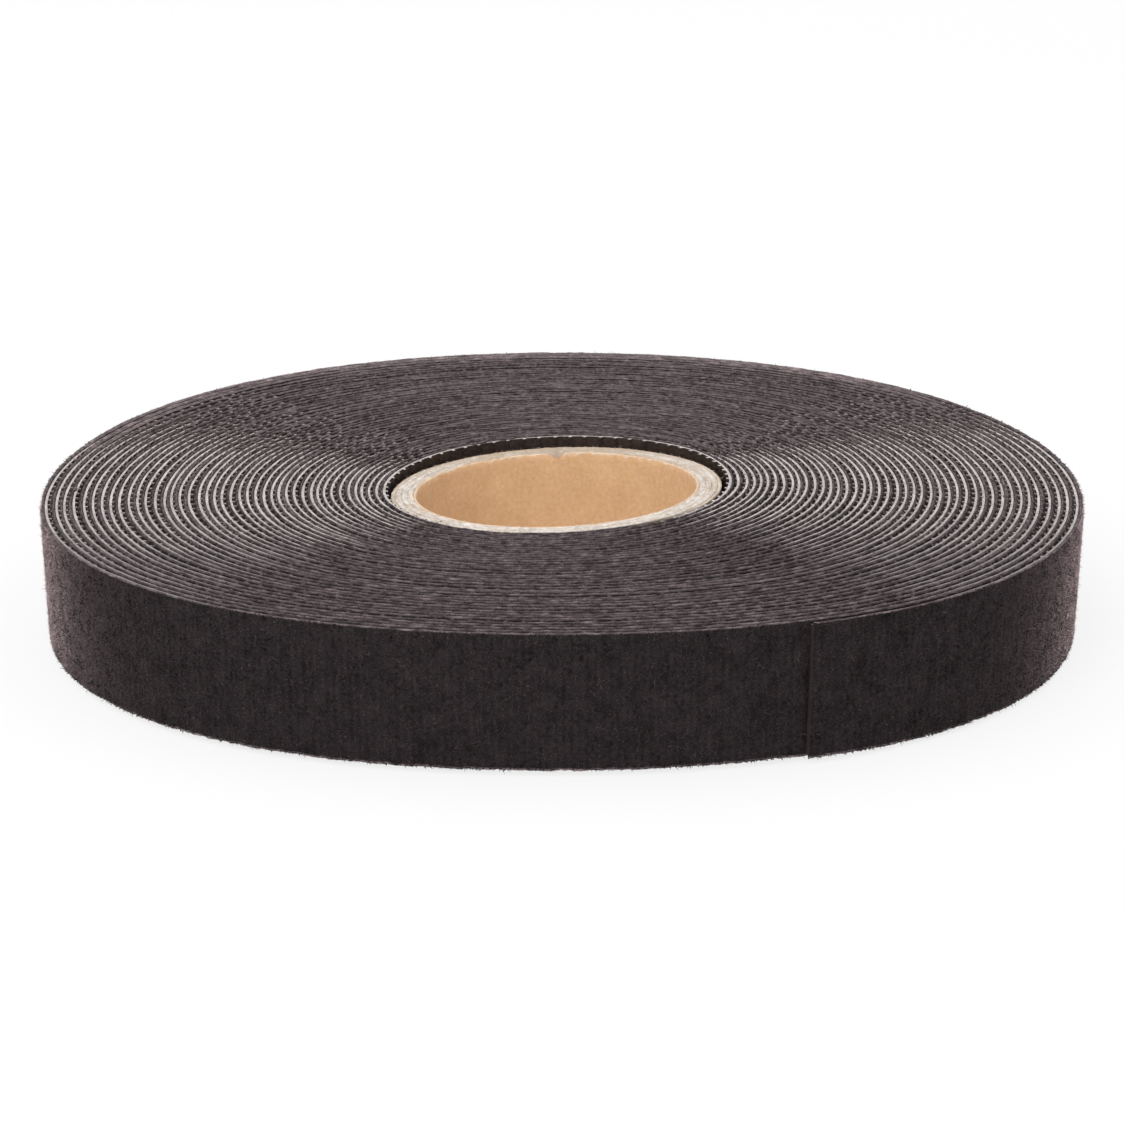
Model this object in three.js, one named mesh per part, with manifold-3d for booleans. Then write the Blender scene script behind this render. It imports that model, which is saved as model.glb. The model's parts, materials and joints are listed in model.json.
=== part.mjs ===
// A roll of back-to-back hook and loop tape on a spiral-wound paper core, lying flat.
// Units are millimetres. +Z runs up along the core's axis, and the roll lies on the plane Z = 0.
import * as THREE from "three";
import { mergeVertices } from "three/addons/utils/BufferGeometryUtils.js";
import Module from "manifold-3d";

// Tape: a raised pile fabric bonded to a film with moulded hooks, pile outwards.
const tapeWidth = 20;
const pileThickness = 1.05;
const hookThickness = 0.6;
const glueLine = 0.1;

// Winding: one strip in a spiral. A tight roll has about forty turns, with the hooks of each sunk into
// the pile below. Here the turns lie on each other at full thickness, so fewer fill the same radius.
const turns = 24;
const turnGap = 0.43;
const facetsPerTurn = 23;

// Paper core: an inner liner, board plies and an outer wrap, each a strip wound with a slanting butt seam.
const coreBore = 43;
const coreLength = 18.4;
const linerThickness = 0.4;
const boardThickness = 0.8;
const wrapThickness = 0.5;
const coreClearance = 0.35;
const coreFacets = 48;
const seamGap = 0.4;
const seamLead = 85;
const firstSeamDirection = THREE.MathUtils.degToRad(231);
const seamStagger = THREE.MathUtils.degToRad(137);
const seamRows = 6;

// Free end: the last stretch of tape, which peels off the roll in three links.
const freeEndDirection = THREE.MathUtils.degToRad(-65);
const freeEndFacets = 2;
const freeEndLinks = ["tip", "middle", "root"];
const facetsPerLink = 2;
const bendGap = 0.3;

const wasm = await Module();
wasm.setup();

const facetAngle = (2 * Math.PI) / facetsPerTurn;
const tapeThickness = hookThickness + glueLine + pileThickness;
const turnPitch = tapeThickness + turnGap;

const paper = (color) => new THREE.MeshStandardMaterial({ color, roughness: 0.9, metalness: 0 });
const kraftPaper = paper(0xcca17a);
const greyBoard = paper(0xdccec2);
const pileFabric = new THREE.MeshStandardMaterial({ color: 0x332d2e, roughness: 0.95, metalness: 0 });
const hookFilm = new THREE.MeshStandardMaterial({ color: 0xbdb6b2, roughness: 0.5, metalness: 0 });

const roll = new THREE.Group();

function addPiece(name, geometry, material) {
  const mesh = new THREE.Mesh(geometry, material);
  mesh.name = name;
  roll.add(mesh);
}

// Only position is kept, so that the vertices shared by two faces merge into one closed surface.
function closeSurface(geometry) {
  geometry.deleteAttribute("normal");
  geometry.deleteAttribute("uv");
  return mergeVertices(geometry);
}

function solidFrom(geometry) {
  const closed = closeSurface(geometry);
  const vertProperties = closed.getAttribute("position").array;
  const triVerts = new Uint32Array(closed.index.array);
  return new wasm.Manifold(new wasm.Mesh({ numProp: 3, vertProperties, triVerts }));
}

function geometryFrom(solid) {
  const { vertProperties, triVerts } = solid.getMesh();
  const geometry = new THREE.BufferGeometry();
  geometry.setAttribute("position", new THREE.BufferAttribute(vertProperties, 3));
  geometry.setIndex(new THREE.BufferAttribute(triVerts, 1));
  return geometry;
}

// Moves each point of a box to where place(x, y, z) puts it, with x, y and z from 0 to 1 along its sides.
function bendBox(xSteps, zSteps, place) {
  const box = new THREE.BoxGeometry(1, 1, 1, xSteps, 1, zSteps).translate(0.5, 0.5, 0.5);
  const points = box.getAttribute("position");
  const point = new THREE.Vector3();
  for (let i = 0; i < points.count; i++) {
    point.fromBufferAttribute(points, i);
    point.copy(place(point.x, point.y, point.z));
    points.setXYZ(i, point.x, point.y, point.z);
  }
  return closeSurface(box);
}

function polar(radius, direction, height) {
  return new THREE.Vector3(radius * Math.cos(direction), radius * Math.sin(direction), height);
}

// Paper core

// The slot left where a strip's two edges meet: a thin blade that turns about the axis as it rises.
function seamBlade(innerRadius, outerRadius, startDirection) {
  const reach = seamGap;
  return bendBox(1, seamRows, (x, y, z) => {
    const radius = THREE.MathUtils.lerp(innerRadius - reach, outerRadius + reach, x);
    const height = THREE.MathUtils.lerp(-reach, coreLength + reach, z);
    const turned = (2 * Math.PI * height) / seamLead + ((y - 0.5) * seamGap) / radius;
    return polar(radius, startDirection + turned, height);
  });
}

function coreStrip(innerRadius, thickness, seamDirection) {
  const outerRadius = innerRadius + thickness;
  const section = [
    new THREE.Vector2(innerRadius, 0),
    new THREE.Vector2(outerRadius, 0),
    new THREE.Vector2(outerRadius, coreLength),
    new THREE.Vector2(innerRadius, coreLength),
    new THREE.Vector2(innerRadius, 0),
  ];
  const tube = new THREE.LatheGeometry(section, coreFacets).rotateX(Math.PI / 2);
  const blade = seamBlade(innerRadius, outerRadius, seamDirection);
  return geometryFrom(solidFrom(tube).subtract(solidFrom(blade)));
}

const coreStrips = [
  { name: "core_liner", thickness: linerThickness, material: kraftPaper },
  { name: "core_board_inner", thickness: boardThickness, material: greyBoard },
  { name: "core_board_middle", thickness: boardThickness, material: greyBoard },
  { name: "core_board_outer", thickness: boardThickness, material: greyBoard },
  { name: "core_wrap", thickness: wrapThickness, material: kraftPaper },
];

let stripRadius = coreBore / 2;
coreStrips.forEach(({ name, thickness, material }, index) => {
  const seamDirection = firstSeamDirection + index * seamStagger;
  addPiece(name, coreStrip(stripRadius, thickness, seamDirection), material);
  stripRadius += thickness + glueLine;
});
const coreRadius = stripRadius - glueLine;

// Wound tape

// The flats of the innermost turn clear the core, so its corners stand a little further out.
const firstTurnRadius = (coreRadius + coreClearance) / Math.cos(facetAngle / 2);

// Radius of the hook tips at an angle wound back from the free end, down to the first turn on the core.
function hookTipRadius(woundBack) {
  return firstTurnRadius + turnPitch * (turns - woundBack / (2 * Math.PI));
}

function tapePoint(woundBack, depth, height) {
  return polar(hookTipRadius(woundBack) + depth, freeEndDirection + woundBack, height);
}

// A stretch of one of the tape's layers, between two angles wound back from the free end.
function tapeStretch(layer, from, to, facets) {
  return bendBox(facets, 1, (x, y, z) =>
    tapePoint(THREE.MathUtils.lerp(to, from, x), layer.depth + layer.thickness * y, tapeWidth * z),
  );
}

// Least distance between a layer's inner face and its own outer face one turn further in,
// measured at the corners and the middles of the facets.
function leastGapToItself(layer, firstFacet, lastFacet) {
  const onFacet = (facet, along, depth) =>
    tapePoint(facet * facetAngle, depth, 0).lerp(tapePoint((facet + 1) * facetAngle, depth, 0), along);
  const gaps = [];
  for (let facet = firstFacet; facet + facetsPerTurn < lastFacet; facet++) {
    for (const along of [0, 0.5]) {
      const inside = onFacet(facet, along, layer.depth);
      const outside = onFacet(facet + facetsPerTurn, along, layer.depth + layer.thickness);
      gaps.push(inside.distanceTo(outside));
    }
  }
  return Math.min(...gaps);
}

const layers = [
  { name: "hooks", depth: 0, thickness: hookThickness, material: hookFilm },
  { name: "pile", depth: hookThickness + glueLine, thickness: pileThickness, material: pileFabric },
];

const freeEndAngle = freeEndFacets * facetAngle;
const lastFacet = turns * facetsPerTurn;

for (const layer of layers) {
  const name = `wound_${layer.name}`;
  const facets = lastFacet - freeEndFacets;
  addPiece(name, tapeStretch(layer, freeEndAngle, lastFacet * facetAngle, facets), layer.material);
  const gap = leastGapToItself(layer, freeEndFacets, lastFacet);
  console.log(`${name}: least gap to itself ${gap.toFixed(2)} mm`);
}

// Each link ends short of the next by the bend gap, and turns about the pile's face at that gap.
const linkAngle = freeEndAngle / freeEndLinks.length;
const bendAngle = bendGap / hookTipRadius(0);
freeEndLinks.forEach((link, index) => {
  const from = index * linkAngle;
  const to = from + linkAngle - bendAngle;
  for (const layer of layers) {
    addPiece(`free_end_${link}_${layer.name}`, tapeStretch(layer, from, to, facetsPerLink), layer.material);
  }
});

export default roll;
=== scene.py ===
"""Looks of a roll of back-to-back hook and loop tape on a spiral-wound paper core.

Units are metres, +Z runs up along the core's axis, and the roll lies on the plane Z = 0.
"""
import json
import math
from collections import namedtuple

import bpy
import numpy as np
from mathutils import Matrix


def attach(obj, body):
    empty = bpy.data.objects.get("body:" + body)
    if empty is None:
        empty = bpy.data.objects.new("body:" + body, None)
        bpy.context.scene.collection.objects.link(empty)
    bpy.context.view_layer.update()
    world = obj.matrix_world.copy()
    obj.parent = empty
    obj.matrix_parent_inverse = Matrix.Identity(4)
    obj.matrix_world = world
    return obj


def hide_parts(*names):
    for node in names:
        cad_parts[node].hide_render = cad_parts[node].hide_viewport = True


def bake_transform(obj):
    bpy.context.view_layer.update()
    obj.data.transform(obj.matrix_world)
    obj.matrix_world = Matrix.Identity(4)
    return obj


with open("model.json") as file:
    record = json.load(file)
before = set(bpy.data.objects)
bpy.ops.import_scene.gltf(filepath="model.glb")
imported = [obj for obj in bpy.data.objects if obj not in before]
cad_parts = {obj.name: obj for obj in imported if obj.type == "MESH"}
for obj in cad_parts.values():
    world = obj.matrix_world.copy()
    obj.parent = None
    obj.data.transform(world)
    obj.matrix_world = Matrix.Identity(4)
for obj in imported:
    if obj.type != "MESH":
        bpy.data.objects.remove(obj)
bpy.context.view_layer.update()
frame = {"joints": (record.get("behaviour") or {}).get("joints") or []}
chance = np.random.default_rng(42)

MM = 0.001
FULL_TURN = 2 * math.pi

# Tape: pile outwards, then a pale film, then a gap that the hooks bridge to the next pile.
TAPE_WIDTH = 20 * MM
FILM_THICKNESS = 0.38 * MM
FILM_LOWER_EDGE = 0.3 * MM
HOOK_SHARE = 0.35

# Winding: the angle is counted back from the free end, and the turns are packed tighter near the core.
TURNS = 42
FREE_END_DIRECTION = math.radians(-63.7)
ROLL_RADIUS = 79.86 * MM
OUTER_PITCH = 1.43 * MM
INNER_PITCH = 1.108 * MM
PILE_STEP = 0.45 * MM
FILM_STEP = 0.9 * MM

# The roll isn't quite flat or round. Its middle and its core each stand on a slope of their own, given as the
# height at the axis and the rise to the right and to the back. Its outer turns lean outwards as they rise.
# Its rim is out of round by a few waves, each a cosine and a sine. Its turns lie a little off centre, to the
# left at the core and to the right at the rim, and the core itself lies to the left.
MIDDLE_SLOPE = (0.95 * MM, 0.0335, 0.0065)
CORE_SLOPE = (1.70 * MM, 0.0405, -0.0168)
RIM_RAISE = 1.03 * MM
OFF_CENTRE = 0.35 * MM
CORE_OFF_CENTRE = 0.25 * MM
OUTWARD_LEAN = 0.9 * MM
RIM_WAVES = {2: (0.35 * MM, 0.26 * MM), 3: (0.04 * MM, -1.17 * MM), 4: (-0.77 * MM, 0.11 * MM)}
EDGE_WANDER = 0.04 * MM

# Fluff: the outermost turns are brushed up along the back of the rim
FLUFF_TURNS = 2.0
FLUFF_DIRECTION = math.radians(102)
FLUFF_HEIGHT = 0.1 * MM
HEM_DROP = 0.35 * MM

# Hooks, and the stretches where the pile below hides them
HOOK_PITCH = 2.55 * MM
HOOK_ROW_PITCH = 1.1 * MM
HOOK_HALF_HEIGHT = 0.16 * MM
HOOK_SCATTER = 0.1 * MM
HOOK_END_MARGIN = 0.3
BORE_HOOK_STRETCH = 1.4
COVER_FROM = 0.4
COVER_TO = 0.65

# Nap: tufts and loose hairs to the square millimetre of the outer face, hairs to the millimetre of the edges
FACE_TUFTS = 10.0
FACE_HAIRS = 1.6
LOWER_HAIRS = 9.0
EDGE_HAIRS = 2.4
FACE_ROOT_DEPTH = 0.03 * MM
LOWER_ROOT_DEPTH = 0.05 * MM
FACE_TUFT_WIDTH = 0.2 * MM
FACE_HAIR_WIDTH = 0.08 * MM
LOWER_HAIR_WIDTH = 0.1 * MM
EDGE_HAIR_WIDTH = 0.07 * MM
NAP_CURL = 0.9
FIBRE_CURL = 0.8
FLOOR_CLEARANCE = 0.02 * MM

# Lint: a speck on the pile just past the free end
LINT_HAIRS = 60
LINT_HAIR_WIDTH = 0.04 * MM
LINT_HEIGHT = 14.7 * MM
LINT_DISTANCE = 1.6 * MM

# Paper core: plies from the bore outwards, each with a slanting seam
CORE_LENGTH = 18.4 * MM
CORE_SAMPLES = 420
CORE_LEVELS = 15
SEAM_LEAD = 85 * MM
SEAM_GAP = 0.25 * MM
FIRST_SEAM_DIRECTION = math.radians(231)
SEAM_STAGGER = math.radians(137)
NICK_DIRECTION = math.radians(90)
NICK_HALF_WIDTH = 1.1 * MM
NICK_DEPTH = 1.1 * MM
TEAR_DEPTH = 0.05 * MM
CORE_FIBRES = 1800
FIBRE_WIDTH = 0.05 * MM


# Mesh building

# Closed skins, with a material slot for each face and a place on the strip for each point.
Patch = namedtuple("Patch", "points quads triangles quad_slots triangle_slots place")


def facing_out(points, quads, triangles):
    """Faces turned so that the skin's signed volume, a sum of a . (b x c) over its triangles, is positive."""
    fans = np.concatenate([quads[:, [0, 1, 2]], quads[:, [0, 2, 3]], triangles])
    a, b, c = (points[fans[:, k]] for k in range(3))
    if np.einsum("ij,ij->", a, np.cross(b, c)) < 0:
        return quads[:, ::-1], triangles[:, ::-1]
    return quads, triangles


def swept_skin(rings, place, side_slots, cap_slot):
    """A closed skin over rings of points (rings, points of a ring, 3).

    A quad joins point j and point j + 1 of one ring to the same points of the next. A zigzag across the ring,
    between points counted forwards and points counted back, closes each end.
    """
    count, around = rings.shape[:2]
    index = np.arange(count * around).reshape(count, around)
    following = np.roll(index, -1, axis=1)
    quads = np.stack([index[:-1], following[:-1], following[1:], index[1:]], axis=-1)
    slots = np.broadcast_to(np.asarray(side_slots), quads.shape[:2])
    order = np.array([(step + 1) // 2 if step % 2 else -(step // 2) % around for step in range(around)])
    zigzag = np.stack([order[:-2], order[1:-1], order[2:]], axis=1)
    zigzag[1::2] = zigzag[1::2, [1, 0, 2]]
    caps = np.concatenate([index[0][zigzag][:, ::-1], index[-1][zigzag]])
    points = rings.reshape(-1, 3)
    quads, caps = facing_out(points, quads.reshape(-1, 4), caps)
    return Patch(points, quads, caps, slots.ravel(), np.full(len(caps), cap_slot), place.reshape(-1, 3))


def repeated_skins(points, quads, triangles, place, quad_slot, triangle_slot):
    """Many small closed skins with the same faces over points (skins, points of a skin, 3), off the floor."""
    index = np.arange(points.shape[0] * points.shape[1]).reshape(points.shape[:2])
    points = points.reshape(-1, 3)
    points[:, 2] = np.maximum(points[:, 2], FLOOR_CLEARANCE)
    quads, triangles = index[:, quads].reshape(-1, 4), index[:, triangles].reshape(-1, 3)
    quads, triangles = facing_out(points, quads, triangles)
    slots = np.full(len(quads), quad_slot), np.full(len(triangles), triangle_slot)
    return Patch(points, quads, triangles, *slots, place.reshape(-1, 3))


def joined(patches):
    """Patches put together, with each one's faces counted on from the points before it."""
    starts = np.cumsum([0] + [len(patch.points) for patch in patches[:-1]])
    counted_on = [
        patch._replace(quads=patch.quads + start, triangles=patch.triangles + start)
        for patch, start in zip(patches, starts)
    ]
    return Patch(*(np.concatenate(parts) for parts in zip(*counted_on)))


CREASE_ANGLE = math.radians(80)


def add_piece(name, patch, materials, smooth=True):
    """A mesh object of a patch, with strip_place as an attribute: length, height and depth in millimetres."""
    mesh = bpy.data.meshes.new(name)
    mesh.vertices.add(len(patch.points))
    mesh.vertices.foreach_set("co", patch.points.astype(np.float32).ravel())
    corners = np.concatenate([patch.quads.ravel(), patch.triangles.ravel()])
    sizes = np.concatenate([np.full(len(patch.quads), 4), np.full(len(patch.triangles), 3)])
    mesh.loops.add(len(corners))
    mesh.loops.foreach_set("vertex_index", corners.astype(np.int32))
    mesh.polygons.add(len(sizes))
    mesh.polygons.foreach_set("loop_start", (np.cumsum(sizes) - sizes).astype(np.int32))
    slots = np.concatenate([patch.quad_slots, patch.triangle_slots])
    mesh.polygons.foreach_set("material_index", slots.astype(np.int32))
    mesh.polygons.foreach_set("use_smooth", np.full(len(sizes), smooth))
    place = mesh.attributes.new("strip_place", "FLOAT_VECTOR", "POINT")
    place.data.foreach_set("vector", (patch.place / MM).astype(np.float32).ravel())
    for material in materials:
        mesh.materials.append(material)
    mesh.update(calc_edges=True)
    mesh.set_sharp_from_angle(angle=CREASE_ANGLE)
    piece = bpy.data.objects.new(name, mesh)
    bpy.context.scene.collection.objects.link(piece)
    return piece


def unit(vectors):
    """Vectors made one long."""
    return vectors / np.linalg.norm(vectors, axis=-1, keepdims=True)


def shade_as_face(piece, patch, slot):
    """Gives loose pile the normals of the face that it stands on, straight out from the axis.

    A normal of zero leaves the other faces' corners as they are.
    """
    corners = np.concatenate([patch.quads.ravel(), patch.triangles.ravel()])
    on_quads = np.repeat(patch.quad_slots == slot, 4)
    loose = np.concatenate([on_quads, np.repeat(patch.triangle_slots == slot, 3)])
    piece.data.normals_split_custom_set(loose[:, None] * unit(patch.points[corners] * (1, 1, 0)))


def smooth_step(low, high, value):
    """0 below low, 1 above high, and an eased rise between them."""
    part = np.clip((value - low) / (high - low), 0, 1)
    return part * part * (3 - 2 * part)


noise_table = np.random.default_rng(7).uniform(-1, 1, 65536)


def steady_noise(place, lane):
    """Noise from -1 to 1 that depends on the place alone: table values at whole numbers, eased in between."""
    cell = np.floor(place).astype(int)
    ease = smooth_step(0, 1, place - cell)
    before, after = (noise_table[(index + 9973 * lane) % len(noise_table)] for index in (cell, cell + 1))
    return before * (1 - ease) + after * ease


# Winding

def face_radius(angle):
    """Radius of the pile's face: it falls by the outer pitch in the first turn, and by ever less inwards."""
    turn = angle / FULL_TURN
    return ROLL_RADIUS - OUTER_PITCH * turn + (OUTER_PITCH - INNER_PITCH) * turn**2 / (2 * TURNS)


def turn_pitch(angle):
    """Distance from a turn's face to the next turn's face."""
    return OUTER_PITCH - (OUTER_PITCH - INNER_PITCH) * angle / (FULL_TURN * TURNS)


LAST_ANGLE = TURNS * FULL_TURN
INNER_RADIUS = face_radius(LAST_ANGLE)
fine_angles = np.linspace(0, LAST_ANGLE, TURNS * 360)
fine_lengths = np.concatenate([[0], np.cumsum(np.diff(fine_angles) * face_radius(fine_angles)[1:])])


def angle_at(length):
    """Angle wound back from the free end at a length along the tape."""
    return np.interp(length, fine_lengths, fine_angles)


def length_at(angle):
    """Length along the tape from the free end to an angle."""
    return np.interp(angle, fine_angles, fine_lengths)


def tape_noise(angle, step, lane):
    """Noise from -1 to 1 along the tape, in steps of a length."""
    return steady_noise(length_at(angle) / step, lane)


def uneven_radius(angle):
    """Small bulges that neighbouring turns share: waves round the roll, with a phase that drifts inwards."""
    direction = FREE_END_DIRECTION + angle
    radius = face_radius(angle) / MM
    inside = np.clip(angle / FULL_TURN - 1, 0, 1)
    bulges = 0.10 * np.sin(2 * direction + 1.1 * radius) + 0.07 * np.sin(5 * direction - 0.8 * radius + 1)
    return inside * bulges * MM


def outwards(radius):
    """Share of the way from the core out to the rim."""
    return np.clip((radius - INNER_RADIUS) / (ROLL_RADIUS - INNER_RADIUS), 0, 1)


def on_slope(slope, radius, direction):
    """Height of a slope at a radius and a direction."""
    middle, right, back = slope
    return middle + radius * (right * np.cos(direction) + back * np.sin(direction))


def off_centre(radius):
    """How far a turn's middle lies to the right of the axis: negative at the core, positive at the rim."""
    return OFF_CENTRE * (2 * outwards(radius) - 1)


def rim_shape(direction):
    """How far the rim stands outside a circle: a sum of waves round the roll."""
    return sum(a * np.cos(n * direction) + b * np.sin(n * direction) for n, (a, b) in RIM_WAVES.items())


def rim_fluff(angle):
    """How far the pile is brushed up, from 0 to 1: over the outermost turns, along the back of the rim."""
    turned = np.cos(FREE_END_DIRECTION + angle - FLUFF_DIRECTION)
    return smooth_step(0.3, 0.62, turned) * smooth_step(FLUFF_TURNS + 2.5, FLUFF_TURNS, angle / FULL_TURN)


def edge_height(angle):
    """Height of the tape's lower edge: the slope of the middle passing into a level rim, and a wander."""
    direction = FREE_END_DIRECTION + angle
    radius = face_radius(angle)
    wander = 2 + tape_noise(angle, 160 * MM, 1) + tape_noise(angle, 47 * MM, 2)
    out = outwards(radius)
    sloped = on_slope(MIDDLE_SLOPE, INNER_RADIUS, direction)
    return (1 - out) * sloped + out * RIM_RAISE + EDGE_WANDER * wander


def tape_points(angle, depth, height):
    """Points of the tape: depth is measured inwards from the pile's face, height up from the lower edge."""
    direction = FREE_END_DIRECTION + angle
    round_radius = face_radius(angle)
    strayed = rim_shape(direction) - OUTWARD_LEAN * (1 - height / TAPE_WIDTH)
    radius = round_radius + uneven_radius(angle) + outwards(round_radius) * strayed - depth
    across = radius * np.cos(direction) + off_centre(round_radius)
    lifted = edge_height(angle) + height
    return np.stack(np.broadcast_arrays(across, radius * np.sin(direction), lifted), axis=-1)


def strip_place(angle, depth, height):
    """Length, height and depth of the same points, for the materials."""
    return np.stack(np.broadcast_arrays(length_at(angle), height, depth), axis=-1)


def on_tape(*where):
    """Points of the tape at an angle, depth and height, and their places on the strip."""
    return tape_points(*where), strip_place(*where)


def towards_back(angle):
    """1 at the back of the roll, -1 at its front."""
    return np.sin(FREE_END_DIRECTION + angle)


def straight_out(angle):
    """The way straight out from the axis."""
    direction = FREE_END_DIRECTION + angle
    return np.stack([np.cos(direction), np.sin(direction), np.zeros_like(direction)], axis=-1)


def under_a_turn(angle):
    """1 where another turn lies over this one, 0 on the outermost turn, and a short rise between them."""
    return np.clip(10 * (angle / FULL_TURN - 1), 0, 1)


def hook_gap(angle):
    """Room for the hooks between the film and the next pile, wider and narrower along the tape."""
    return HOOK_SHARE * turn_pitch(angle) * (1 + 0.2 * tape_noise(angle, 70 * MM, 3))


def film_recess(angle):
    """How far the slit film stands below the pile's crown.

    Most at the very front and at the back of the roll, and least just behind the front and round the bore.
    """
    back = towards_back(angle)
    wound = smooth_step(TURNS - 0.85, TURNS - 1.0, angle / FULL_TURN)
    sunk = 0.32 * wound * smooth_step(0.25, 0.7, back) + 0.37 * smooth_step(0.66, 1.0, -back)
    return (0.26 - 0.085 * smooth_step(0.2, 0.45, -back) + sunk) * MM


def hook_recess(angle):
    """How far the hooks of the edge row stand below the pile's crown, in the same way as the film."""
    back = towards_back(angle)
    hidden = np.maximum(smooth_step(0.68, 0.9, back), smooth_step(0.45, 0.8, -back))
    return (0.2 - 0.1 * smooth_step(0.2, 0.35, back) + 0.45 * hidden) * MM


def pile_depth(angle):
    """Thickness of the pile, which takes what the film and the hooks leave of a turn's pitch."""
    return turn_pitch(angle) - FILM_THICKNESS - hook_gap(angle)


def nap_flare(angle):
    """How far fluffed pile reaches out over the hooks of the turn around it, which comes and goes."""
    noise = 0.6 * tape_noise(angle, 95 * MM, 4) + 0.4 * tape_noise(angle, 19 * MM, 5)
    cover = np.maximum(0.75 * smooth_step(COVER_FROM, COVER_TO, noise), rim_fluff(angle))
    return under_a_turn(angle) * cover * hook_gap(angle - FULL_TURN)


def nap_lap(angle):
    """How far the pile's crown laps over its own film: in specks, and where it is brushed up."""
    back = towards_back(angle)
    bare = 0.95 - 0.9 * smooth_step(0.3, 0.72, back)
    specks = smooth_step(bare, bare + 0.06, tape_noise(angle, 2.6 * MM, 6))
    return (FILM_THICKNESS + 0.08 * MM) * np.maximum(specks, rim_fluff(angle))


def pile_skin(angle):
    """The pile web along the winding: a section of eleven points with a ragged crown at both edges.

    On each side of the upper crown, a soft shoulder leans in among the hooks.
    """
    angle = angle[:, None]
    thick = pile_depth(angle)
    flare = nap_flare(angle)
    lap = nap_lap(angle)
    inside = under_a_turn(angle)
    fill = np.maximum(flare, 0.65 * inside * hook_gap(angle - FULL_TURN))

    def ragged(reach, lane):
        return reach * (tape_noise(angle, 0.95 * MM, lane) + 0.6 * tape_noise(angle, 3.1 * MM, lane + 1))

    fluff = FLUFF_HEIGHT * rim_fluff(angle)
    crown = ragged(0.06 * MM, 10) + fluff
    shoulder = ragged(0.05 * MM, 12) + fluff
    far_shoulder = ragged(0.05 * MM, 16) + fluff
    sway = ragged(0.05 * MM, 14)
    level = 0 * thick
    top = TAPE_WIDTH
    deep, soft = (0.2 + 0.32 * inside) * MM, (0.04 + 0.23 * inside) * MM
    hem = (1 - inside) * (ragged(0.1 * MM, 18) - HEM_DROP)
    depth = np.concatenate([
        level, level, -fill, 0.05 * thick - 0.85 * flare + sway, 0.5 * thick - 0.7 * flare + sway,
        0.82 * thick + 0.5 * sway + lap, thick, thick, 0.88 * thick, 0.45 * thick + sway,
        0.12 * thick + 0.5 * sway,
    ], axis=1)
    height = np.concatenate([
        hem + 0.45 * MM, top - 1.6 * deep, top - deep, top - soft + shoulder, top + crown,
        top - 0.09 * MM + far_shoulder, level + top - 0.52 * MM, level + 0.45 * MM, level + 0.12 * MM, hem,
        hem + 0.12 * MM,
    ], axis=1)
    slots = [PILE, PILE] + 4 * [CUT_PILE] + [PILE] + 4 * [CUT_PILE]
    return swept_skin(*on_tape(angle, depth, height), slots, PILE)


def film_skin(angle):
    """The film behind the pile: a strip of uneven thickness, pale on its slit edges and dark on its faces."""
    angle = angle[:, None]
    outer = pile_depth(angle)
    uneven = 0.14 * tape_noise(angle, 1.9 * MM, 20) + 0.10 * tape_noise(angle, 6 * MM, 23)
    inner = outer + FILM_THICKNESS * (1 + uneven)
    depth = np.concatenate([outer, inner, inner, outer], axis=1)
    low = FILM_LOWER_EDGE + 0 * outer
    high = TAPE_WIDTH - film_recess(angle) + 0.04 * MM * tape_noise(angle, 5 * MM, 21)
    height = np.concatenate([low, low, high, high], axis=1)
    return swept_skin(*on_tape(angle, depth, height), 2 * [FILM_EDGE, FILM_FACE], FILM_FACE)


def hook_skins(angle, height, side_slot, cut_slot, stretch=1.0):
    """Hooks on the film: each a flat six-cornered J, wider at its root, with its head bent along the tape."""
    along = np.array([-0.36, 0.36, 0.24, 0.40, 0.26, -0.22]) * MM
    reach = np.array([0.0, 0.0, 0.62, 0.78, 1.0, 0.86])
    root = (pile_depth(angle) + FILM_THICKNESS)[:, None]
    corner_angle = angle[:, None] + along / face_radius(angle)[:, None]
    depth = root - 0.06 * MM + stretch * reach * hook_gap(angle)[:, None]
    levels = [np.broadcast_to((height + side * HOOK_HALF_HEIGHT)[:, None], depth.shape) for side in (-1, 1)]
    ends = [on_tape(corner_angle, depth, level) for level in levels]
    points, places = (np.concatenate(parts, axis=1) for parts in zip(*ends))
    corner = np.arange(len(along))
    following = np.roll(corner, -1)
    sides = np.stack([corner, following, following + len(along), corner + len(along)], axis=-1)
    fan = np.array([[0, 1, 2], [0, 2, 5], [2, 3, 4], [2, 4, 5]])
    caps = np.concatenate([fan[:, ::-1], fan + len(along)])
    return repeated_skins(points, sides, caps, places, side_slot, cut_slot)


def rooted_place(place, lengths, share):
    """Places of a hair's points: its root's place, with a depth that falls by its length up to the tip."""
    rise = share[:, None] * (0, 0, 1)
    return place[:, None] - lengths[:, None, None] * rise


def root_rings(directions, width):
    """Three points round each hair's root, square to its direction."""
    side = unit(np.cross(directions, chance.normal(size=directions.shape)))
    other = np.cross(directions, side)
    turn = np.arange(3) * FULL_TURN / 3
    return width / 2 * (np.cos(turn)[:, None] * side[:, None] + np.sin(turn)[:, None] * other[:, None])


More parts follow.
